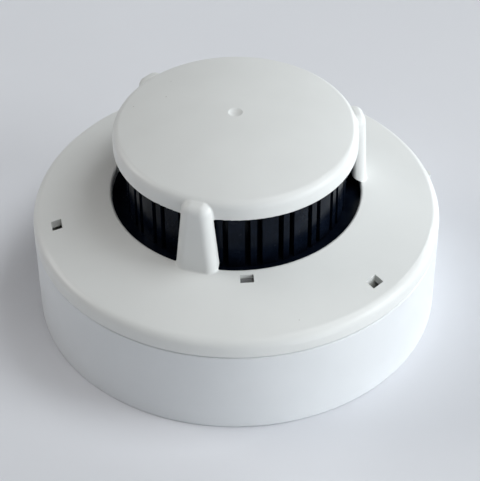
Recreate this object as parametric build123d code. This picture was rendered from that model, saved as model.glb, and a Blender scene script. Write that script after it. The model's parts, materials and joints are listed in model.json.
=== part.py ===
from build123d import *
import os
from math import cos, hypot, radians, sin, sqrt, tan

# Point smoke detector: a twist-on detector head locked into its mounting base.
# Frame: origin at the centre of the base's back face, +Z towards the cap. Millimetres.

os.makedirs("parts", exist_ok=True)

# ---- driving dimensions -------------------------------------------------------------
BODY_R = 50.0             # base and head outside radius
BASE_H = 22.8             # height of the mounting base
PARTING_GAP = 0.35        # shadow gap between base and head
RIM_TOP = 25.35           # where the head's upright rim starts to round over
RIM_ROUND = 2.5
FLANGE_SLOPE = 14.9       # degrees, head flange rising towards the smoke opening
OPENING_R = 30.4          # smoke opening in the flange
SHELL = 2.0               # wall thickness of the white mouldings

CAP_R = 29.4
CAP_LOW = 46.2            # lower edge of the cap's skirt
CAP_EDGE = 50.8           # where the dome would meet the skirt without its rounding
CAP_TOP = 55.0            # crown of the dome
CAP_ROUND = 2.2
CAP_LIP = 0.3             # rounding of the skirt's lower edge
CAP_WALL = 1.8
DIMPLE_R = 3.4            # ball radius of the gate dimple in the cap
DIMPLE_DEPTH = 0.5

PILLAR_ANGLES = (-107.8, 12, 134.5)
BETWEEN_PILLARS = (-167.5, -44, 74)
PILLAR_IN = 28.2          # inner face, within the thickness of the cap's skirt
PILLAR_OUT_LOW = 32.1     # outer face at the flange
PILLAR_OUT_TOP = 31.75
PILLAR_WIDTH_LOW = 10.3
PILLAR_WIDTH_TOP = 7.65
PILLAR_EDGE = 2.5         # rounding of the outer face's upright edges
PILLAR_INNER_EDGE = 1.0
PILLAR_ROOT = 0.4         # the pillar starts this far above the flange's underside
THROAT_TOP = 34.0         # below this the inner face leans out to the opening's edge
SHOULDER_TOP = 50.1       # at the outer face, before its rounding
SHOULDER_SLOPE = 12.0     # degrees, so that the shoulder carries on the line of the dome
SHOULDER_ROUND = 2.2
FOOT_ROUND = 0.5          # where the pillar rises out of the flange
NECK_ROUND = 0.5          # where the pillar's sides meet the cap's skirt
SEAM_ANGLE = 45           # the seams of the turned surfaces, kept clear of the pillars
MOUTH_ROUND = 0.5         # upper edge of the smoke opening

SNAP_R = 44.5             # snap windows in the flange
SNAP_WINDOW = (2.5, 3.4)  # radial, tangential
LIGHT_R = 33.0            # alarm light window beside the opening
LIGHT_ANGLE = -86
LIGHT_WINDOW = (2.1, 3.2)
MARK_ANGLE = 14           # alignment rib on the rim
MARK_PROUD = 0.55

UNITS = 21                # repeats of the labyrinth wall
FIRST_UNIT = -90
LABYRINTH_R = 26.8
PANEL_HALF = 4.15         # degrees
RIB_HALF = 1.6
CHAMBER_FLOOR = 29.9

TERMINAL_ANGLES = (45, 135, 225, 315)
TERMINAL_R = 40.5         # terminal screws
BLADE_R = 33.0            # head contact blades
MOUNT_SPACING = 60.0
MOUNT_SLOT_L = 10.0
MOUNT_SLOT_W = 4.6
CABLE_R = 12.0

TWIST_CLEARANCE = 0.3

# ---- derived levels -----------------------------------------------------------------
WALL_IN = BODY_R - SHELL
HEAD_LOW = BASE_H + PARTING_GAP
HOUSING_R = 45.7
HOUSING_LOW = 12.0
HOUSING_FLOOR = 1.8
HOUSING_TOP = 23.4
BOARD_LOW = 17.0
BOARD_TOP = 18.6
BOARD_R = 41.0
SCREW_R = 37.0            # housing screws
SCREW_ANGLES = (90, 210, 330)
CONTACT_LOW = 5.0         # base contact plates
CONTACT_T = 0.8
LEAF_TOP = 7.35
BLADE_LOW = 7.4
CLAMP_LOW = CONTACT_LOW + CONTACT_T + 0.05
CLAMP_T = 1.0
SCREW_HEAD_LOW = CLAMP_LOW + CLAMP_T + 0.05
SCREW_HEAD_H = 2.0


def polar(radius, degrees):
    return (radius * cos(radians(degrees)), radius * sin(radians(degrees)))


def disc(radius, low, high):
    return Pos(0, 0, low) * extrude(Circle(radius), high - low)


def ring(inner, outer, low, high):
    return Pos(0, 0, low) * extrude(Circle(outer) - Circle(inner), high - low)


def peg(radius, low, high, at=(0, 0)):
    return Pos(at[0], at[1], low) * extrude(Circle(radius), high - low)


def sector_face(inner, outer, middle, half):
    corners = [
        polar(inner, middle - half),
        polar(outer, middle - half),
        polar(outer, middle + half),
        polar(inner, middle + half),
    ]
    outline = [
        Line(corners[0], corners[1]),
        ThreePointArc(corners[1], polar(outer, middle), corners[2]),
        Line(corners[2], corners[3]),
        ThreePointArc(corners[3], polar(inner, middle), corners[0]),
    ]
    return make_face(outline)


def sector(inner, outer, middle, half, low, high):
    return Pos(0, 0, low) * extrude(sector_face(inner, outer, middle, half), high - low)


def block(angle, inner, outer, width, low, high):
    """A box between two radii, turned to an angle about Z."""
    middle = ((inner + outer) / 2, 0, (low + high) / 2)
    return Rot(0, 0, angle) * Pos(*middle) * Box(outer - inner, width, high - low)


def turned(points):
    """A solid of revolution about Z from a closed outline of radius and height."""
    return revolve(Plane.XZ * make_face(Polyline(*points, close=True)), Axis.Z, 360)


def save(node, solids):
    if not isinstance(solids, (list, tuple)):
        solids = [solids]
    pieces = [piece for shape in solids for piece in shape.solids()]
    shape = pieces[0] if len(pieces) == 1 else Compound(children=pieces)
    export_step(shape, f"parts/{node}.step")


# ---- head: front cover --------------------------------------------------------------
SLOPE = tan(radians(FLANGE_SLOPE))
ROUND_CENTRE = (BODY_R - RIM_ROUND, RIM_TOP)
ROUND_END = (
    ROUND_CENTRE[0] + RIM_ROUND * sin(radians(FLANGE_SLOPE)),
    ROUND_CENTRE[1] + RIM_ROUND * cos(radians(FLANGE_SLOPE)),
)
COVER_IN = 46.3           # inside of the rim, round the back housing
SPIGOT_R = WALL_IN - TWIST_CLEARANCE
SPIGOT_LOW = 21.6


def flange_top(radius):
    return ROUND_END[1] + (ROUND_END[0] - radius) * SLOPE


def flange_under(radius):
    return flange_top(radius) - SHELL / cos(radians(FLANGE_SLOPE))


def flange():
    mid_turn = radians(90 + FLANGE_SLOPE) / 2
    arc_middle = (
        ROUND_CENTRE[0] + RIM_ROUND * sin(mid_turn),
        ROUND_CENTRE[1] + RIM_ROUND * cos(mid_turn),
    )
    upright = Line((BODY_R, HEAD_LOW), (BODY_R, RIM_TOP))
    rounding = ThreePointArc((BODY_R, RIM_TOP), arc_middle, ROUND_END)
    rest = Polyline(
        ROUND_END,
        (OPENING_R, flange_top(OPENING_R)),
        (OPENING_R, flange_under(OPENING_R)),
        (COVER_IN, flange_under(COVER_IN)),
        (COVER_IN, SPIGOT_LOW),
        (SPIGOT_R, SPIGOT_LOW),
        (SPIGOT_R, HEAD_LOW),
        (BODY_R, HEAD_LOW),
    )
    shell = revolve(Plane.XZ * make_face([upright, rounding, rest]), Axis.Z, 360)
    mouth = shell.edges().filter_by(GeomType.CIRCLE).filter_by(
        lambda edge: abs(edge.radius - OPENING_R) < 0.01
        and edge.center().Z > flange_top(OPENING_R) - 0.1
    )
    return fillet(mouth, MOUTH_ROUND)


def cap():
    """A shallow dome with an upright skirt, open below."""
    rise = CAP_TOP - CAP_EDGE
    dome_r = (CAP_R**2 + rise**2) / (2 * rise)
    inside_r = CAP_R - CAP_WALL

    def dome(radius, thickness=0.0):
        return CAP_TOP - dome_r + sqrt((dome_r - thickness) ** 2 - radius**2)

    over = ThreePointArc((0, CAP_TOP), (CAP_R / 2, dome(CAP_R / 2)), (CAP_R, CAP_EDGE))
    skirt = Polyline(
        (CAP_R, CAP_EDGE),
        (CAP_R, CAP_LOW),
        (inside_r, CAP_LOW),
        (inside_r, dome(inside_r, CAP_WALL)),
    )
    under = ThreePointArc(
        (inside_r, dome(inside_r, CAP_WALL)),
        (inside_r / 2, dome(inside_r / 2, CAP_WALL)),
        (0, CAP_TOP - CAP_WALL),
    )
    axis = Line((0, CAP_TOP - CAP_WALL), (0, CAP_TOP))
    face = make_face([over, skirt, under, axis])
    outer_corners = face.vertices().filter_by(lambda v: v.X > CAP_R - 0.01)
    face = fillet(outer_corners.sort_by(Axis.Y)[-1], CAP_ROUND)
    outer_corners = face.vertices().filter_by(lambda v: v.X > CAP_R - 0.01)
    face = fillet(outer_corners.sort_by(Axis.Y)[0], CAP_LIP)
    return revolve(Plane.XZ * face, Axis.Z, 360)


def same_place(edge, other):
    return (edge.center() - other.center()).length < 0.01


def pillar():
    """One pillar at angle 0, with the shoulder that joins it to the cap."""
    low = flange_under(OPENING_R) + PILLAR_ROOT
    shoulder_rise = (PILLAR_OUT_TOP - PILLAR_IN) * tan(radians(SHOULDER_SLOPE))
    foot_out = flange_top(PILLAR_OUT_LOW)
    draft = (PILLAR_OUT_LOW - PILLAR_OUT_TOP) / (SHOULDER_TOP - foot_out)
    side = Polyline(
        (PILLAR_IN, low),
        (PILLAR_OUT_LOW + draft * (foot_out - low), low),
        (PILLAR_OUT_TOP, SHOULDER_TOP),
        (PILLAR_IN, SHOULDER_TOP + shoulder_rise),
        close=True,
    )
    face = make_face(side)
    crown = face.vertices().filter_by(
        lambda v: v.X > PILLAR_OUT_TOP - 0.1 and v.Y > SHOULDER_TOP - 0.1
    )
    face = fillet(crown, SHOULDER_ROUND)
    body = extrude(Plane.XZ * face, PILLAR_WIDTH_LOW, both=True)
    foot = flange_top(OPENING_R)
    lean = (PILLAR_WIDTH_LOW - PILLAR_WIDTH_TOP) / 2 / (CAP_LOW - foot)
    half_low = PILLAR_WIDTH_LOW / 2 + lean * (foot - low)
    half_high = PILLAR_WIDTH_TOP / 2 - lean * (CAP_TOP - CAP_LOW)
    taper = Polyline(
        (-half_low, low),
        (half_low, low),
        (half_high, CAP_TOP),
        (-half_high, CAP_TOP),
        close=True,
    )
    body = body & extrude(Plane.YZ * make_face(taper), BODY_R)
    beside = PILLAR_WIDTH_TOP / 3
    outer = body.edges().filter_by(
        lambda e: abs(e.center().Y) > beside
        and e.center().X > PILLAR_IN + 0.1
        and e.center().Z > low + 0.1
    )
    body = fillet(outer, PILLAR_EDGE)
    upright = (SHOULDER_TOP - low) / 2
    inner = body.edges().filter_by(
        lambda e: abs(e.center().Y) > beside
        and e.center().X < PILLAR_IN + 0.1
        and e.length > upright
    )
    body = fillet(inner, PILLAR_INNER_EDGE)
    behind_edge = OPENING_R + 0.02
    before_pillar = PILLAR_IN - 0.2
    throat = Polyline(
        (before_pillar, THROAT_TOP),
        (behind_edge, foot - 0.2),
        (behind_edge, low - 1),
        (before_pillar, low - 1),
        close=True,
    )
    return body - extrude(Plane.XZ * make_face(throat), PILLAR_WIDTH_LOW, both=True)


SKIRT_IN = 41.4           # locating skirt under the flange
SKIRT_OUT = 43.2
SKIRT_LOW = 22.5
BOSS_R = 3.0
PILOT_R = 1.3             # blind holes for the housing screws
PILOT_TOP = 26.0
CATCH_IN = 45.75          # ledges that the housing's snap tongues stand behind
CATCH_LOW = 24.2
CATCH_TOP = 25.0
CATCH_HALF = 2.6
MARK_R = 1.2
MARK_RISE = 1.0
WINDOW_LOW = 26.0         # the flange's windows are cut between these two heights
WINDOW_TOP = 35.0


def cover_inside():
    """Locating skirt, screw bosses and snap catches under the flange."""
    parts = [ring(SKIRT_IN, SKIRT_OUT, SKIRT_LOW, flange_under(SKIRT_OUT) + 0.3)]
    for angle in SCREW_ANGLES:
        boss = peg(BOSS_R, BOARD_TOP, flange_under(SCREW_R) + 0.6, polar(SCREW_R, angle))
        parts.append(boss)
    for angle in BETWEEN_PILLARS:
        parts.append(sector(CATCH_IN, COVER_IN + 0.3, angle, CATCH_HALF, CATCH_LOW, CATCH_TOP))
    return parts


def shell_with_pillars():
    """Flange and cap joined by the pillars, with the inside corners rounded."""
    body = Rot(0, 0, SEAM_ANGLE) * (flange() + cap())
    for angle in PILLAR_ANGLES:
        body += Rot(0, 0, angle) * pillar()
    reach = PILLAR_WIDTH_LOW / 2 + 0.1
    beside = PILLAR_WIDTH_TOP / 2 - 0.8
    neck_low = CAP_LOW + CAP_LIP + 0.1
    neck_top = CAP_EDGE - CAP_ROUND
    feet = []
    necks = []
    for angle in PILLAR_ANGLES:
        for edge in body.edges():
            middle = edge.center().rotate(Axis.Z, -angle)
            radius = hypot(middle.X, middle.Y)
            if middle.X < 0 or abs(middle.Y) > reach:
                continue
            on_flange = abs(middle.Z - flange_top(radius)) < 0.03
            if on_flange and middle.X > OPENING_R + 0.1:
                feet.append(edge)
            on_skirt = abs(radius - CAP_R) < 0.02 and neck_low < middle.Z < neck_top
            if on_skirt and abs(middle.Y) > beside:
                necks.append(edge)
    body = fillet(feet, FOOT_ROUND)
    necks = [edge for edge in body.edges() if any(same_place(edge, neck) for neck in necks)]
    return fillet(necks, NECK_ROUND)


def front_cover():
    body = shell_with_pillars()
    for part in cover_inside():
        body += part
    mark_at = polar(BODY_R + MARK_PROUD - MARK_R, MARK_ANGLE)
    body += peg(MARK_R, HEAD_LOW, RIM_TOP + MARK_RISE, mark_at)
    for angle in SCREW_ANGLES:
        body -= peg(PILOT_R, BOARD_TOP - 1, PILOT_TOP, polar(SCREW_R, angle))
    radial, wide = SNAP_WINDOW
    for angle in BETWEEN_PILLARS:
        near, far = SNAP_R - radial / 2, SNAP_R + radial / 2
        body -= block(angle, near, far, wide, WINDOW_LOW, WINDOW_TOP)
    radial, wide = LIGHT_WINDOW
    near, far = LIGHT_R - radial / 2, LIGHT_R + radial / 2
    body -= block(LIGHT_ANGLE, near, far, wide, WINDOW_LOW, WINDOW_TOP)
    body -= Pos(0, 0, CAP_TOP - DIMPLE_DEPTH + DIMPLE_R) * Sphere(DIMPLE_R)
    return body


# ---- head: back housing -------------------------------------------------------------
LUG_HALF = 7
LUG_T = 2.0
LUG_OUT = WALL_IN - TWIST_CLEARANCE
BLADE_T = 0.8
BLADE_TOP = BLADE_LOW + BLADE_T
RIVET_R = 1.15
SCREW_POST_R = 3.8
BLADE_BOSS_R = 3.0
COUNTERBORE_R = 2.7
COUNTERBORE_TOP = HOUSING_LOW + 2.2
SCREW_HOLE_R = 1.5
TONGUE_IN = 44.2          # snap tongues, with a hooked end
TONGUE_OUT = 45.4
HOOK_OUT = 46.05
HOOK_LOW = 25.1
TONGUE_TOP = 25.9
TONGUE_WIDTH = 3.0


def back_housing():
    body = disc(HOUSING_R, HOUSING_LOW, HOUSING_LOW + HOUSING_FLOOR)
    body += ring(HOUSING_R - SHELL, HOUSING_R, HOUSING_LOW, HOUSING_TOP)
    for angle in SCREW_ANGLES:
        body += peg(SCREW_POST_R, HOUSING_LOW, BOARD_LOW, polar(SCREW_R, angle))
    for angle in TERMINAL_ANGLES:
        body += peg(BLADE_BOSS_R, BLADE_TOP, HOUSING_LOW + 0.5, polar(BLADE_R, angle))
    for angle in BETWEEN_PILLARS:
        body += sector(HOUSING_R - 1, LUG_OUT, angle, LUG_HALF, HOUSING_LOW, HOUSING_LOW + LUG_T)
        body += block(angle, TONGUE_IN, TONGUE_OUT, TONGUE_WIDTH, HOUSING_TOP - 1, TONGUE_TOP)
        body += block(angle, TONGUE_IN, HOOK_OUT, TONGUE_WIDTH, HOOK_LOW, TONGUE_TOP)
    for angle in SCREW_ANGLES:
        body -= peg(SCREW_HOLE_R, HOUSING_LOW - 1, BOARD_LOW + 1, polar(SCREW_R, angle))
        body -= peg(COUNTERBORE_R, HOUSING_LOW - 1, COUNTERBORE_TOP, polar(SCREW_R, angle))
    for angle in TERMINAL_ANGLES:
        body -= peg(RIVET_R + 0.05, 0, 20, polar(BLADE_R, angle))
    return body


def housing_screw(angle):
    at = polar(SCREW_R, angle)
    head_low = HOUSING_LOW + 0.3
    head = peg(2.5, head_low, COUNTERBORE_TOP, at)
    shank = peg(1.25, COUNTERBORE_TOP, PILOT_TOP - 1.5, at)
    cross = Pos(at[0], at[1], head_low + 0.4) * (Box(3.2, 0.7, 0.8) + Box(0.7, 3.2, 0.8))
    return head + shank - cross


def contact_blade(angle):
    """A flat blade under its boss, longer on the side that enters the base leaf first."""
    flat = Pos(BLADE_R, 1.5, BLADE_LOW + BLADE_T / 2) * Box(5.6, 11.0, BLADE_T)
    flat = fillet(flat.edges().filter_by(Axis.Z), 1.2)
    blade = flat - Pos(BLADE_R, 0, 0) * Cylinder(RIVET_R + 0.05, 40)
    return Rot(0, 0, angle) * blade


def contact_rivet(angle):
    at = polar(BLADE_R, angle)
    floor_top = HOUSING_LOW + HOUSING_FLOOR
    rivet = peg(RIVET_R, BLADE_LOW, floor_top + 1.0, at)
    rivet += peg(2.2, floor_top, floor_top + 1.0, at)
    return rivet + peg(0.5, floor_top + 0.9, BOARD_TOP + 0.7, at)


# ---- head: circuit board and its parts ----------------------------------------------
EMITTER_ANGLE = 160
DIODE_ANGLE = 25
LEAD_R = 18.2             # where the leads of both optical parts pass through the board
LEAD_TURNS = (-4, 4)
LEADS_AT = [polar(LEAD_R, angle + turn) for angle in (EMITTER_ANGLE, DIODE_ANGLE)
            for turn in LEAD_TURNS]


def circuit_board():
    board = disc(BOARD_R, BOARD_LOW, BOARD_TOP)
    for angle in SCREW_ANGLES:
        board -= peg(1.6, 0, 30, polar(SCREW_R, angle))
    for angle in TERMINAL_ANGLES:
        board -= peg(0.6, 0, 30, polar(BLADE_R, angle))
    for at in LEADS_AT:
        board -= peg(0.4, 0, 30, at)
    return board


def chip(angle, radius, size, pins, pitch):
    """A small-outline package with bent leads, lying on the board."""
    length, width, height = size
    lift = 0.15
    body = Pos(0, 0, lift + height / 2) * Box(width, length, height)
    body = chamfer(body.edges().filter_by(Axis.Y), 0.25)
    for side in (-1, 1):
        for pin in range(pins):
            along = (pin - (pins - 1) / 2) * pitch
            body += Pos(side * (width / 2 + 0.5), along, 0.1) * Box(0.8, pitch * 0.35, 0.2)
            body += Pos(side * (width / 2 + 0.1), along, 0.45) * Box(0.25, pitch * 0.35, 0.9)
    return Rot(0, 0, angle) * Pos(radius, 0, BOARD_TOP) * body


def flat_parts(spots, size, end=0.35):
    """Small rectangular parts with plated ends, one solid each."""
    length, width, height = size
    made = []
    for angle, radius, turn in spots:
        body = Pos(0, 0, height / 2) * Box(length - 2 * end, width, height * 0.86)
        for side in (-1, 1):
            body += Pos(side * (length - end) / 2, 0, height / 2) * Box(end, width, height)
        made.append(Rot(0, 0, angle) * Pos(radius, 0, BOARD_TOP) * Rot(0, 0, turn) * body)
    return made


def electrolytic_capacitor():
    can = Pos(0, 0, BOARD_TOP) * extrude(Circle(3.0), 7.0)
    can = fillet(can.edges().filter_by(GeomType.CIRCLE), 0.4)
    groove = ring(2.7, 3.5, BOARD_TOP + 1.4, BOARD_TOP + 1.9)
    return Rot(0, 0, 158) * Pos(32.5, 0, 0) * (can - groove)


def alarm_led():
    at = polar(LIGHT_R, LIGHT_ANGLE)
    led = peg(1.5, BOARD_TOP + 1.0, BOARD_TOP + 3.4, at)
    led += peg(1.8, BOARD_TOP + 0.4, BOARD_TOP + 1.2, at)
    led += Pos(at[0], at[1], BOARD_TOP + 3.4) * Sphere(1.5)
    for side in (-1.27, 1.27):
        led += Pos(at[0] + side / 2, at[1], BOARD_TOP) * Box(0.45, 0.45, 1.6)
    return led - disc(60, 0, BOARD_TOP)


def light_pipe():
    radial, wide = LIGHT_WINDOW
    low = BOARD_TOP + 5.2
    high = flange_top(LIGHT_R) - 0.75
    near, far = LIGHT_R - radial / 2, LIGHT_R + radial / 2
    fit = 0.12
    pipe = block(LIGHT_ANGLE, near + fit, far - fit, wide - 2 * fit, low, high)
    collar = block(LIGHT_ANGLE, near - 0.3, far + 0.9, wide + 1.4, low, low + 2.0)
    return pipe + collar


# ---- head: optical chamber ----------------------------------------------------------
OPTIC_Z = 34.4            # height of the optical axis
EMITTER_R = 2.5
APERTURE_R = 1.3
CHAMBER_FLOOR_R = 31.3
CHAMBER_FLOOR_T = 1.5
HOLDER = (8.0, 19.2, 8.0)   # inner radius, outer radius, width
HOLDER_TOP = 38.6
CHAMBER_WALL_R = 24.0


def aimed(angle, solid):
    """Lay a part that points along +Z so that it points at the chamber's centre."""
    return Rot(0, 0, angle) * Pos(0, 0, OPTIC_Z) * Rot(0, -90, 0) * solid


def chamber_base():
    floor_low = CHAMBER_FLOOR - CHAMBER_FLOOR_T
    body = disc(CHAMBER_FLOOR_R, floor_low, CHAMBER_FLOOR)
    body += ring(CHAMBER_WALL_R - 1.6, CHAMBER_WALL_R, BOARD_TOP, floor_low + 0.2)
    inner, outer, width = HOLDER
    for angle in (EMITTER_ANGLE, DIODE_ANGLE):
        holder = block(angle, inner, outer, width, CHAMBER_FLOOR - 0.5, HOLDER_TOP)
        bore = aimed(angle, Pos(0, 0, -outer - 1) * extrude(Circle(EMITTER_R + 0.1), outer - 10))
        aperture = aimed(angle, Pos(0, 0, -12) * extrude(Circle(APERTURE_R), 8))
        body += holder
        body -= bore
        body -= aperture
    body += block(92, 7.0, 18.5, 1.4, CHAMBER_FLOOR - 0.5, 41.0)
    for at in LEADS_AT:
        body -= peg(0.55, 20, OPTIC_Z, at)
    return body - block(LIGHT_ANGLE, 31.0, 36.0, 5.4, 20, 35)


def lead_pair(angle):
    leads = []
    for turn in LEAD_TURNS:
        at = polar(LEAD_R, angle + turn)
        leads.append(peg(0.25, BOARD_TOP - 1.8, OPTIC_Z, at))
    return leads


def infrared_emitter():
    back, shoulder = 18.9, 14.0
    body = Pos(0, 0, -back) * extrude(Circle(EMITTER_R), back - shoulder)
    body += Pos(0, 0, -shoulder) * Sphere(EMITTER_R)
    body += Pos(0, 0, -back) * extrude(Circle(EMITTER_R + 0.08), 0.9)
    body = aimed(EMITTER_ANGLE, body)
    for lead in lead_pair(EMITTER_ANGLE):
        body += lead
    return body


def photodiode():
    body = Pos(0, 0, -16.0) * Box(4.0, 3.0, 3.2)
    body += Pos(0, 0, -14.4) * Sphere(1.4)
    body = aimed(DIODE_ANGLE, body)
    link = block(DIODE_ANGLE, 17.2, 18.6, 3.0, OPTIC_Z - 0.6, OPTIC_Z)
    body += link
    for lead in lead_pair(DIODE_ANGLE):
        body += lead
    return body


LID_LOW = 47.3            # underside of the labyrinth's lid
WALL_LOW = CHAMBER_FLOOR + 0.05
SCREEN_R = 20.6
SCREEN_T = 0.3
SCREEN_ROWS = 3
SCREEN_COLUMNS = 42
SCREEN_WINDOW_W = 2.2
SCREEN_BAND = 1.0         # solid band between two rows of windows


def insect_screen():
    high = LID_LOW - 0.05
    screen = ring(SCREEN_R, SCREEN_R + SCREEN_T, WALL_LOW, high)
    pitch = (high - WALL_LOW) / SCREEN_ROWS
    for column in range(SCREEN_COLUMNS):
        angle = 360 / SCREEN_COLUMNS * column
        for row in range(SCREEN_ROWS):
            bottom = WALL_LOW + row * pitch + SCREEN_BAND / 2
            top = bottom + pitch - SCREEN_BAND
            screen -= block(angle, SCREEN_R - 0.6, SCREEN_R + 0.9, SCREEN_WINDOW_W, bottom, top)
    return screen


def labyrinth_cover():
    step = 360 / UNITS
    faces = []
    for unit in range(UNITS):
        middle = FIRST_UNIT + unit * step
        faces.append(sector_face(LABYRINTH_R - 1.2, LABYRINTH_R, middle, PANEL_HALF))
        faces.append(sector_face(22.4, LABYRINTH_R - 1.1, middle, 1.1))
        faces.append(sector_face(24.2, LABYRINTH_R, middle + step / 2, RIB_HALF))
        faces.append(sector_face(22.4, 23.6, middle + step / 2, 5.2))
        faces.append(sector_face(23.5, 24.3, middle + step / 2, 1.2))
    tall = LID_LOW + 0.1 - WALL_LOW
    walls = [Pos(0, 0, WALL_LOW) * extrude(face, tall) for face in faces]
    lid = disc(LABYRINTH_R + 0.3, LID_LOW, LID_LOW + 1.4)
    return lid.fuse(*walls)


def shield_can():
    outer = Pos(0, 0, BOARD_TOP + 2.6) * Box(9.0, 12.0, 5.2)
    outer = fillet(outer.edges().filter_by(Axis.Z) + outer.edges().sort_by(Axis.Z)[-4:], 0.5)
    hollow = Pos(0, 0, BOARD_TOP + 2.3) * Box(8.4, 11.4, 5.0)
    return Rot(0, 0, DIODE_ANGLE) * Pos(10.0, 0, 0) * (outer - hollow)


# ---- mounting base ------------------------------------------------------------------
LEDGE_IN = 46.0
LEDGE_LOW = HOUSING_LOW + LUG_T + 0.1
LEDGE_T = 2.0
LEDGE_HALF = 9
FLOOR = 2.2
SCREW_SHAFT_R = 1.7


def base_housing():
    body = disc(BODY_R, 0, FLOOR) + ring(WALL_IN, BODY_R, 0, BASE_H)
    body += ring(CABLE_R, CABLE_R + 1.6, 0, FLOOR + 2.3)
    for angle in BETWEEN_PILLARS:
        body += sector(LEDGE_IN, WALL_IN + 0.5, angle, LEDGE_HALF, LEDGE_LOW, LEDGE_LOW + LEDGE_T)
        stop = angle - LUG_HALF - 1.6
        body += sector(LEDGE_IN, WALL_IN + 0.5, stop, 1.1, 8.0, LEDGE_LOW + 0.5)
        body += sector(47.0, WALL_IN + 0.5, angle + 6, 1.0, LEDGE_LOW + LEDGE_T - 0.5, BASE_H - 3)
    for angle in (20, 70, 110, 160, 200, 250, 290, 340):
        body += block(angle, CABLE_R + 1, WALL_IN + 0.5, 1.2, FLOOR - 0.5, FLOOR + 1.8)
    for angle in TERMINAL_ANGLES:
        body += block(angle, 29.5, 46.0, 11.0, FLOOR - 0.5, CONTACT_LOW)
    for side in (-1, 1):
        slot_at = Pos(side * MOUNT_SPACING / 2, 0, FLOOR - 0.5)
        body += slot_at * extrude(SlotOverall(MOUNT_SLOT_L + 4.4, MOUNT_SLOT_W + 4.4), 1.3)
    body -= disc(CABLE_R, -1, 20)
    for side in (-1, 1):
        slot_at = Pos(side * MOUNT_SPACING / 2, 0, -1)
        body -= slot_at * extrude(SlotOverall(MOUNT_SLOT_L, MOUNT_SLOT_W), 6)
    for angle in TERMINAL_ANGLES:
        body -= peg(SCREW_SHAFT_R + 0.08, 1.0, 20, polar(TERMINAL_R, angle))
    for angle in (90, 270):
        body -= block(angle, WALL_IN - 0.5, BODY_R - 0.9, 14.0, FLOOR + 0.6, 12.0)
    outer_edge = body.edges().filter_by(GeomType.CIRCLE).filter_by(
        lambda e: e.radius > BODY_R - 0.1
    )
    return fillet(outer_edge, 0.4)


def base_contact(angle):
    """A plate under the terminal screw whose inner end steps up into a sprung leaf."""
    low, high = CONTACT_LOW, CONTACT_LOW + CONTACT_T
    leaf_low = LEAF_TOP - CONTACT_T
    side = Polyline(
        (30.3, leaf_low - 0.5),
        (30.9, leaf_low),
        (35.1, leaf_low),
        (36.4, low),
        (45.2, low),
        (45.2, high),
        (36.7, high),
        (35.4, LEAF_TOP),
        (30.6, LEAF_TOP),
        (29.8, LEAF_TOP - 0.6),
        close=True,
    )
    width = 8.4
    plate = Pos(0, width / 2, 0) * extrude(Plane.XZ * make_face(side), width)
    plate -= Pos(TERMINAL_R, 0, 0) * Cylinder(SCREW_SHAFT_R + 0.08, 30)
    return Rot(0, 0, angle) * plate


def clamp_plate(angle):
    """A square wire clamp with two shallow grip grooves."""
    plate = Pos(TERMINAL_R, 0, CLAMP_LOW + CLAMP_T / 2) * Box(7.6, 7.6, CLAMP_T)
    plate = fillet(plate.edges().filter_by(Axis.Z), 0.6)
    plate -= Pos(TERMINAL_R, 0, 0) * Cylinder(SCREW_SHAFT_R + 0.08, 30)
    for side in (-1, 1):
        plate -= Pos(TERMINAL_R, side * 2.8, CLAMP_LOW) * Box(8.0, 0.6, 0.4)
    return Rot(0, 0, angle) * plate


def terminal_screw(angle):
    at = polar(TERMINAL_R, angle)
    head = peg(3.0, SCREW_HEAD_LOW, SCREW_HEAD_LOW + SCREW_HEAD_H, at)
    head = fillet(head.edges().filter_by(GeomType.CIRCLE).sort_by(Axis.Z)[-1:], 0.5)
    shaft = peg(SCREW_SHAFT_R, 1.3, SCREW_HEAD_LOW + 0.2, at)
    drive = Pos(at[0], at[1], SCREW_HEAD_LOW + SCREW_HEAD_H - 0.5)
    cross = Box(4.0, 0.8, 1.4) + Box(0.8, 4.0, 1.4)
    return head + shaft - drive * Rot(0, 0, angle) * cross


# ---- build every node ---------------------------------------------------------------
save("front_cover", front_cover())
save("back_housing", back_housing())
save("housing_screws", [housing_screw(angle) for angle in SCREW_ANGLES])
save("contact_blades", [contact_blade(angle) for angle in TERMINAL_ANGLES])
save("contact_rivets", [contact_rivet(angle) for angle in TERMINAL_ANGLES])
save("circuit_board", circuit_board())
save("signal_chip", chip(115, 32.0, (10.0, 4.0, 1.6), 8, 1.27))
save("bridge_rectifier", chip(190, 32.5, (6.4, 5.0, 2.4), 2, 4.0))
save("transistors", [chip(a, 31.0, (2.9, 1.4, 1.0), 2, 1.9) for a in (60, 76, 216, 346)])
save("electrolytic_capacitor", electrolytic_capacitor())
CERAMIC_SPOTS = ((70, 37.0, 0), (104, 37.5, 90), (172, 37.5, 0), (200, 37.5, 90), (287, 37.0, 0))
save("ceramic_capacitors", flat_parts(CERAMIC_SPOTS, (2.0, 1.25, 0.9)))
RESISTOR_SPOTS = (
    (75, 28.5, 0), (83, 28.0, 90), (97, 28.0, 90), (130, 28.5, 0), (182, 27.5, 0),
    (200, 27.5, 90), (290, 30.0, 0), (297, 30.0, 0), (304, 30.5, 90), (15, 30.0, 0),
)
save("resistors", flat_parts(RESISTOR_SPOTS, (2.0, 1.25, 0.5)))
save("alarm_led", alarm_led())
save("light_pipe", light_pipe())
save("shield_can", shield_can())
save("chamber_base", chamber_base())
save("infrared_emitter", infrared_emitter())
save("photodiode", photodiode())
save("insect_screen", insect_screen())
save("labyrinth_cover", labyrinth_cover())
save("base_housing", base_housing())
save("base_contacts", [base_contact(angle) for angle in TERMINAL_ANGLES])
for number, terminal_angle in enumerate(TERMINAL_ANGLES, start=1):
    save(f"clamp_plate_{number}", clamp_plate(terminal_angle))
    save(f"terminal_screw_{number}", terminal_screw(terminal_angle))
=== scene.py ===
import json
from math import cos, radians, sin

import bmesh
import bpy
from mathutils import Matrix, Vector


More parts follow.
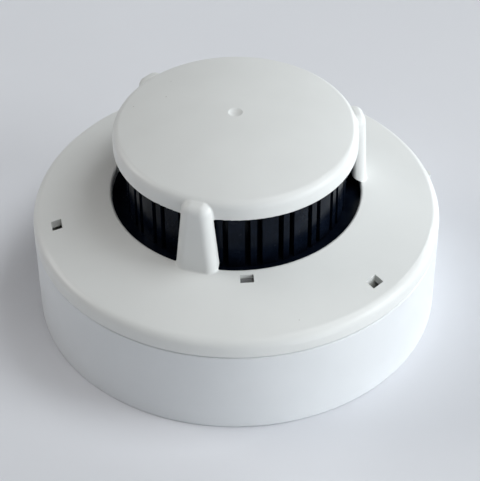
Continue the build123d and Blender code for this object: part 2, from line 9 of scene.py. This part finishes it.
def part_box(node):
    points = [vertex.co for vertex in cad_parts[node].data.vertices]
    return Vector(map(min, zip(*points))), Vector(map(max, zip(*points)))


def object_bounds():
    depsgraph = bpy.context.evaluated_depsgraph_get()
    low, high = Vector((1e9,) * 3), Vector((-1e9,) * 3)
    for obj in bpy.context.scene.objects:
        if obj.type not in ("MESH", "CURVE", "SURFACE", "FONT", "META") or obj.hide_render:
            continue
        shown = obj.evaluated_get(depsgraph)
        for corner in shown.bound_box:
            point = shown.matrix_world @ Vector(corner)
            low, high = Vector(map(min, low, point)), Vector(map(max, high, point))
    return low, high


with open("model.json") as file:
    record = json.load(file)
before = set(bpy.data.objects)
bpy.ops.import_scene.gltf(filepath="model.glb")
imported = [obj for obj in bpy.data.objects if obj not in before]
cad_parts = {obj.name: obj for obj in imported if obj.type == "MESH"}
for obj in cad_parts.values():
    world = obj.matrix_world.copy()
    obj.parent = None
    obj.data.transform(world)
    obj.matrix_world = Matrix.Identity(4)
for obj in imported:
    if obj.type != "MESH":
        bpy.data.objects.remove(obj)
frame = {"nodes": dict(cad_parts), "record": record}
NODES = frame["nodes"]
CAD_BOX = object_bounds()
MM = 0.001
BODY_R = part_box("base_housing")[1].x

# ---- camera -------------------------------------------------------------------------
CAMERA_DISTANCE = 8.878 * BODY_R
CAMERA_ELEVATION = 42.517       # degrees above the table, as seen from the object's origin
CAMERA_PITCH = 1.4378           # the view is centred a little above the origin
CAMERA_YAW = 0.1122
CAMERA_ROLL = -0.4072
LENS = 129.2                    # millimetres, like the width of the sensor
SENSOR = 36


def camera():
    """The photograph's viewing angle: a long lens looking down at the front of the object."""
    back = Vector((0, -cos(radians(CAMERA_ELEVATION)), sin(radians(CAMERA_ELEVATION))))
    side = Vector((1, 0, 0))
    over = side.cross(-back)
    pitch, yaw, roll = radians(CAMERA_PITCH), radians(CAMERA_YAW), radians(CAMERA_ROLL)
    ahead = -back * cos(yaw) * cos(pitch) + side * sin(yaw) * cos(pitch) + over * sin(pitch)
    level = ahead.cross(Vector((0, 0, 1))).normalized()
    above = level.cross(ahead)
    right = cos(roll) * level + sin(roll) * above
    up = cos(roll) * above - sin(roll) * level
    data = bpy.data.cameras.new("camera")
    data.lens = LENS
    data.sensor_width = SENSOR
    data.clip_start = 0.01
    data.clip_end = 20
    eye = bpy.data.objects.new("camera", data)
    bpy.context.collection.objects.link(eye)
    turn = Matrix((right, up, -ahead)).transposed()
    eye.matrix_world = Matrix.Translation(back * CAMERA_DISTANCE) @ turn.to_4x4()
    bpy.context.scene.camera = eye


# ---- shader helpers -----------------------------------------------------------------
# Sockets of a Mix node set to colours, whose names repeat for each kind of value.
MIX_FACTOR, MIX_FIRST, MIX_SECOND = 0, 6, 7
MIX_RESULT = 2


def new_material(name, rough=0.5, metal=0.0, **sockets):
    """A material with one Principled surface. Returns the material and its node tree."""
    made = bpy.data.materials.new(name)
    made.use_nodes = True
    surface = made.node_tree.nodes["Principled BSDF"]
    surface.inputs["Roughness"].default_value = rough
    surface.inputs["Metallic"].default_value = metal
    for socket, value in sockets.items():
        surface.inputs[socket.replace("_", " ")].default_value = value
    return made, made.node_tree


def add(tree, kind, inputs=None, **settings):
    """A node of that kind, with its properties set and its inputs set or linked."""
    made = tree.nodes.new("ShaderNode" + kind)
    for name, value in settings.items():
        setattr(made, name, value)
    for name, value in (inputs or {}).items():
        if isinstance(value, bpy.types.NodeSocket):
            tree.links.new(value, made.inputs[name])
        else:
            made.inputs[name].default_value = value
    return made


def link(tree, socket, name):
    """Join a socket to the named input of the material's surface."""
    tree.links.new(socket, tree.nodes["Principled BSDF"].inputs[name])


def place(tree):
    """Object coordinates, which are the model's own metres on every piece."""
    return add(tree, "TexCoord").outputs["Object"]


def noise(tree, size, detail=2.0, rough=0.5):
    """Noise with features about `size` metres across."""
    inputs = {
        "Vector": place(tree),
        "Scale": 1 / size,
        "Detail": detail,
        "Roughness": rough,
    }
    return add(tree, "TexNoise", inputs).outputs["Fac"]


def spread(tree, value, low, high, to_low=0.0, to_high=1.0):
    """Map low..high onto to_low..to_high, and clamp what lies beyond."""
    inputs = {
        "Value": value,
        "From Min": low,
        "From Max": high,
        "To Min": to_low,
        "To Max": to_high,
    }
    return add(tree, "MapRange", inputs).outputs["Result"]


def mix(tree, factor, first, second):
    """A colour between two colours, each a triple or a socket. The factor is a socket."""
    made = add(tree, "Mix", data_type="RGBA")
    tree.links.new(factor, made.inputs[MIX_FACTOR])
    for index, value in ((MIX_FIRST, first), (MIX_SECOND, second)):
        if isinstance(value, bpy.types.NodeSocket):
            tree.links.new(value, made.inputs[index])
        else:
            made.inputs[index].default_value = (*value, 1)
    return made.outputs[MIX_RESULT]


def bump(tree, height, depth, strength, over=None):
    """Surface relief `depth` metres high, laid over another relief if one is given."""
    inputs = {"Height": height, "Distance": depth, "Strength": strength}
    if over is not None:
        inputs["Normal"] = over
    return add(tree, "Bump", inputs).outputs["Normal"]


# ---- materials ----------------------------------------------------------------------
SPECK_SPACING = 9 * MM
SPECK_COLOUR = (0.30, 0.29, 0.27)
TRACK_SPACING = 5 * MM          # of the copper loops on the board
THROUGH_BOARD = (1, 1, 0.001)   # keeps a pattern the same all the way through the board
BLACK = (0, 0, 0)
WHITE = (1, 1, 1)


def white_plastic(name, pale, deep, rough, speck=0.5):
    """Satin injection moulding: faint flow marks, fine spark-eroded grain and a few specks."""
    made, tree = new_material(name, rough)
    flow = spread(tree, noise(tree, size=22 * MM, detail=3), 0.35, 0.65)
    colour = mix(tree, flow, pale, deep)
    cells = add(tree, "TexVoronoi", {"Vector": place(tree), "Scale": 1 / SPECK_SPACING})
    dot = spread(tree, cells.outputs["Distance"], 0.012, 0.026, speck, 0.0)
    colour = mix(tree, dot, colour, SPECK_COLOUR)
    link(tree, colour, "Base Color")
    sheen = noise(tree, size=3 * MM, detail=4)
    link(tree, spread(tree, sheen, 0.3, 0.7, rough - 0.04, rough + 0.05), "Roughness")
    grain = noise(tree, size=0.28 * MM, detail=2)
    ripple = noise(tree, size=14 * MM, detail=1)
    rippled = bump(tree, ripple, depth=0.10 * MM, strength=0.35)
    link(tree, bump(tree, grain, depth=0.012 * MM, strength=0.35, over=rippled), "Normal")
    return made


def black_plastic(name, shade, rough, gloss=0.4):
    """Satin black moulding with faint paler scuffs and a slightly blue gloss."""
    made, tree = new_material(name, rough, Specular_IOR_Level=gloss, Specular_Tint=(0.8, 0.9, 1, 1))
    scuff = spread(tree, noise(tree, size=5 * MM, detail=5, rough=0.7), 0.45, 0.75)
    scuffed = [part * 1.8 + 0.001 for part in shade]
    link(tree, mix(tree, scuff, shade, scuffed), "Base Color")
    sheen = noise(tree, size=2 * MM, detail=4)
    link(tree, spread(tree, sheen, 0.3, 0.7, rough - 0.05, rough + 0.08), "Roughness")
    grain = noise(tree, size=0.35 * MM, detail=2)
    link(tree, bump(tree, grain, depth=0.01 * MM, strength=0.4), "Normal")
    return made


def metal(name, bright, dull, rough):
    """Plated or rolled metal with a fine grain and a patchy finish."""
    made, tree = new_material(name, rough, metal=1.0)
    patch = spread(tree, noise(tree, size=1.5 * MM, detail=4, rough=0.6), 0.35, 0.7)
    link(tree, mix(tree, patch, bright, dull), "Base Color")
    grain = noise(tree, size=0.25 * MM, detail=3, rough=0.6)
    link(tree, spread(tree, grain, 0.3, 0.7, rough - 0.08, rough + 0.12), "Roughness")
    link(tree, bump(tree, grain, depth=0.01 * MM, strength=0.5), "Normal")
    return made


def board_laminate(name):
    """Green solder mask with the copper tracks just showing beneath it."""
    made, tree = new_material(name, 0.32)
    where = add(tree, "Mapping", {"Vector": place(tree), "Scale": THROUGH_BOARD}).outputs["Vector"]
    inputs = {"Vector": where, "Scale": 1 / TRACK_SPACING, "Randomness": 0.8}
    cells = add(tree, "TexVoronoi", inputs, distance="CHEBYCHEV")
    reach = cells.outputs["Distance"]
    inner = mix(tree, spread(tree, reach, 0.28, 0.30), BLACK, WHITE)
    track = mix(tree, spread(tree, reach, 0.38, 0.40), inner, BLACK)
    weave = spread(tree, noise(tree, size=0.6 * MM, detail=1), 0.4, 0.6)
    mask = mix(tree, weave, (0.012, 0.105, 0.030), (0.018, 0.130, 0.040))
    link(tree, mix(tree, track, mask, (0.035, 0.230, 0.075)), "Base Color")
    link(tree, bump(tree, track, depth=0.04 * MM, strength=0.6), "Normal")
    link(tree, spread(tree, noise(tree, size=3 * MM), 0.3, 0.7, 0.25, 0.40), "Roughness")
    return made


def package(name):
    """Moulded epoxy component bodies, fine grained."""
    made, tree = new_material(name, 0.55)
    grain = noise(tree, size=0.2 * MM, detail=2)
    link(tree, mix(tree, grain, (0.010, 0.010, 0.011), (0.032, 0.032, 0.034)), "Base Color")
    link(tree, bump(tree, grain, depth=0.015 * MM, strength=0.6), "Normal")
    link(tree, spread(tree, noise(tree, size=2 * MM), 0.3, 0.7, 0.45, 0.62), "Roughness")
    return made


def fired(name, body, flecks, rough):
    """Fired ceramic chip body."""
    made, tree = new_material(name, rough)
    fleck = spread(tree, noise(tree, size=0.3 * MM, detail=3), 0.45, 0.6)
    link(tree, mix(tree, fleck, body, flecks), "Base Color")
    grain = noise(tree, size=0.15 * MM)
    link(tree, bump(tree, grain, depth=0.01 * MM, strength=0.5), "Normal")
    return made


def clear(name, tint, deep, rough=0.06):
    """Clear or tinted epoxy and acrylic."""
    made, tree = new_material(name, rough, Transmission_Weight=0.85, IOR=1.49)
    swirl = spread(tree, noise(tree, size=2.5 * MM, detail=2), 0.3, 0.7)
    link(tree, mix(tree, swirl, tint, deep), "Base Color")
    haze = noise(tree, size=1.0 * MM, detail=3)
    link(tree, spread(tree, haze, 0.3, 0.7, rough, rough + 0.08), "Roughness")
    return made


MATERIALS = {
    "cover_white": white_plastic("cover_white", (0.80, 0.81, 0.80), (0.77, 0.78, 0.77), 0.40),
    "base_white": white_plastic("base_white", (0.79, 0.81, 0.83), (0.76, 0.78, 0.80), 0.42, 0.3),
    "housing_white": white_plastic("housing_white", (0.76, 0.76, 0.73), (0.72, 0.72, 0.69), 0.5),
    "chamber_black": black_plastic("chamber_black", (0.0026, 0.0044, 0.0096), 0.20, 0.10),
    "screen_black": black_plastic("screen_black", (0.020, 0.020, 0.024), 0.45),
    "board_green": board_laminate("board_green"),
    "package_black": package("package_black"),
    "capacitor_can": metal("capacitor_can", (0.60, 0.61, 0.64), (0.45, 0.46, 0.50), 0.35),
    "ceramic_tan": fired("ceramic_tan", (0.50, 0.36, 0.22), (0.42, 0.29, 0.17), 0.45),
    "resistor_black": fired("resistor_black", (0.018, 0.018, 0.020), (0.05, 0.05, 0.05), 0.3),
    "contact_brass": metal("contact_brass", (0.80, 0.58, 0.26), (0.62, 0.43, 0.17), 0.28),
    "screw_steel": metal("screw_steel", (0.66, 0.67, 0.68), (0.48, 0.48, 0.50), 0.30),
    "clamp_steel": metal("clamp_steel", (0.70, 0.66, 0.48), (0.55, 0.52, 0.42), 0.33),
    "rivet_tin": metal("rivet_tin", (0.72, 0.72, 0.74), (0.58, 0.58, 0.60), 0.35),
    "led_red": clear("led_red", (0.75, 0.02, 0.02), (0.50, 0.01, 0.01)),
    "pipe_clear": clear("pipe_clear", (0.95, 0.96, 0.96), (0.90, 0.92, 0.93)),
    "emitter_blue": clear("emitter_blue", (0.35, 0.45, 0.75), (0.25, 0.33, 0.60)),
    "diode_black": clear("diode_black", (0.05, 0.02, 0.06), (0.03, 0.01, 0.04)),
    "shield_tin": metal("shield_tin", (0.75, 0.75, 0.77), (0.62, 0.62, 0.65), 0.32),
}


def dress_nodes():
    """Every CAD node gets the material of its slot."""
    for part in frame["record"]["subparts"]:
        obj = NODES[part["node"]]
        obj.data.materials.clear()
        obj.data.materials.append(MATERIALS[part["material_slot"]])


# ---- stage --------------------------------------------------------------------------
FLOOR_R = 1.6                   # metres, like the stage's other lengths
FLOOR_SIDES = 96
WALL_TOP = 2.0
FLOOR_GAP = 0.02 * MM           # keeps the floor clear of the base's back face
LAMP_DISTANCE = 3.2
LAMP_SIZE = 1.5
COOL = (0.955, 1.0, 1.02)
WARM = (1.01, 1.0, 0.98)
# name: azimuth from +X towards +Y, elevation (both in degrees), power in watts, colour
LAMPS = {
    "window_near": (-75, 12, 4.5, COOL),
    "window_front": (-45, 12, 17, COOL),
    "window": (-15, 13, 53, COOL),
    "window_back": (45, 13, 42, COOL),
    "skylight": (0, 58, 36, COOL),
    "skylight_front": (-60, 58, 15, WARM),
    "fill": (165, 30, 32, WARM),
    "skylight_back": (150, 65, 3, WARM),
}


def staged(name, shape, material):
    """A stage object from a finished bmesh."""
    mesh = bpy.data.meshes.new(name)
    shape.to_mesh(mesh)
    shape.free()
    mesh.materials.append(material)
    obj = bpy.data.objects.new(name, mesh)
    bpy.context.collection.objects.link(obj)
    obj.location.z = CAD_BOX[0].z - FLOOR_GAP
    return obj


def floor():
    """A round sheet of pale paper."""
    made, tree = new_material("floor_paper", 0.7)
    tone = spread(tree, noise(tree, size=60 * MM, detail=3), 0.3, 0.7)
    link(tree, mix(tree, tone, (0.77, 0.78, 0.82), (0.75, 0.76, 0.80)), "Base Color")
    shape = bmesh.new()
    bmesh.ops.create_circle(shape, cap_ends=True, radius=FLOOR_R, segments=FLOOR_SIDES)
    staged("floor", shape, made)


def backdrop():
    """A pale wall behind the floor. Only the camera sees it, so it sheds no light."""
    made, tree = new_material("backdrop_paper", 1.0)
    tone = spread(tree, noise(tree, size=1.5, detail=2), 0.3, 0.7)
    link(tree, mix(tree, tone, (0.60, 0.61, 0.63), (0.58, 0.59, 0.61)), "Emission Color")
    link(tree, mix(tree, tone, BLACK, (0.001, 0.001, 0.001)), "Base Color")
    tree.nodes["Principled BSDF"].inputs["Emission Strength"].default_value = 1.0
    shape = bmesh.new()
    bmesh.ops.create_circle(shape, radius=FLOOR_R, segments=FLOOR_SIDES)
    raised = bmesh.ops.extrude_edge_only(shape, edges=list(shape.edges))["geom"]
    for corner in raised:
        if isinstance(corner, bmesh.types.BMVert):
            corner.co.z = WALL_TOP
    wall = staged("backdrop", shape, made)
    wall.visible_diffuse = False
    wall.visible_glossy = False
    wall.visible_transmission = False
    wall.visible_shadow = False


def area_light(name, azimuth, elevation, power, colour):
    """A soft square lamp that faces the object."""
    data = bpy.data.lights.new(name, "AREA")
    data.size = LAMP_SIZE
    data.energy = power
    data.color = colour
    lamp = bpy.data.objects.new(name, data)
    bpy.context.collection.objects.link(lamp)
    a, e = radians(azimuth), radians(elevation)
    out = Vector((cos(a) * cos(e), sin(a) * cos(e), sin(e)))
    lamp.location = out * LAMP_DISTANCE
    lamp.rotation_euler = out.to_track_quat("Z", "Y").to_euler()
    lamp.visible_camera = False


def room():
    """A nearly dark room, so that the lamps alone shape the light."""
    world = bpy.data.worlds.new("room")
    bpy.context.scene.world = world
    world.use_nodes = True
    shade = world.node_tree.nodes["Background"].inputs
    shade["Color"].default_value = (0.60, 0.62, 0.66, 1)
    shade["Strength"].default_value = 0.01


def studio():
    """Light, floor and backdrop."""
    bpy.context.scene.view_settings.view_transform = "Standard"
    room()
    for name, (azimuth, elevation, power, colour) in LAMPS.items():
        area_light(name, azimuth, elevation, power, colour)
    floor()
    backdrop()


camera()
dress_nodes()
studio()
